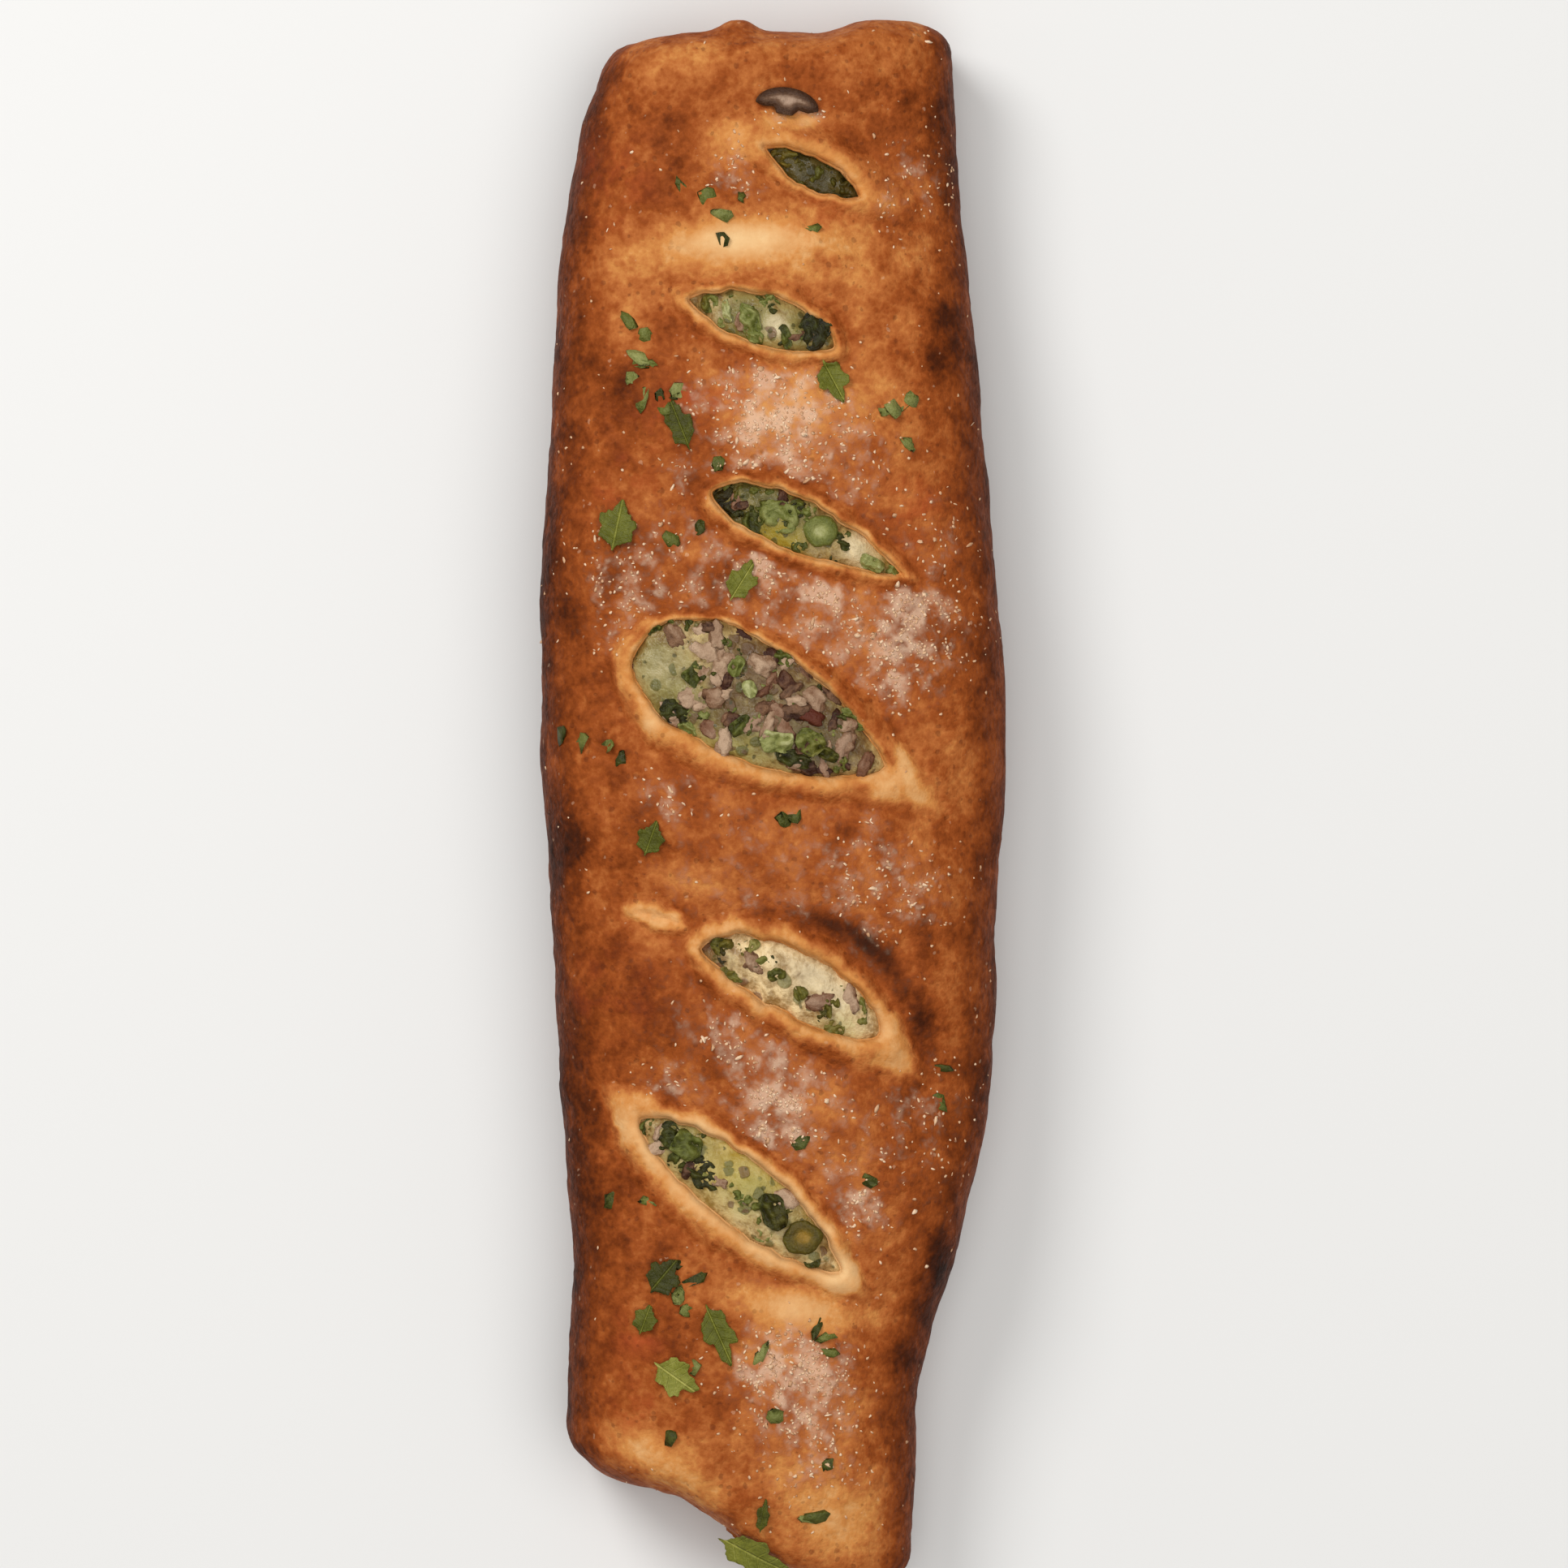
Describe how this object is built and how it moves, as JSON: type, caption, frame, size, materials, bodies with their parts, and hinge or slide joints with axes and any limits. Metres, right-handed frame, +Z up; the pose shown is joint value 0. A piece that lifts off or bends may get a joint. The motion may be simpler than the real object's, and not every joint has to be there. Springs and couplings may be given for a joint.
{
  "type": "stromboli",
  "caption": "Whole baked stromboli: a long rolled loaf of browned dough with slanting open slashes that show a filling of cheese, greens and mushroom, with parsley on top.",
  "frame": {"origin": "middle of the bounding box, on the flat underside that the loaf rests on", "axes": "+Y along the loaf towards its squarer far end, +X across it to the right as seen from above, +Z up out of the slashed top"},
  "size_m": [0.096, 0.3216, 0.0451],
  "materials": {
    "crust": "browned baked bread crust, uneven golden to dark brown, with a faint sheen",
    "filling": "moist melted cheese with chopped greens and mushroom",
    "mushroom": "dark roasted mushroom",
    "parsley": "fresh parsley leaf",
    "cheese": "finely grated hard cheese"
  },
  "bodies": {
    "root": {"crust": "crust", "filling": "filling", "mushroom_slice": "mushroom", "parsley_leaf_1": "parsley", "parsley_leaf_2": "parsley", "parsley_leaf_3": "parsley", "parsley_leaf_4": "parsley", "parsley_leaf_5": "parsley", "parsley_leaf_6": "parsley", "parsley_leaf_7": "parsley", "parsley_leaf_8": "parsley", "parsley_leaf_9": "parsley", "parsley_leaf_10": "parsley", "parsley_leaf_11": "parsley"}
  },
  "joints": []
}
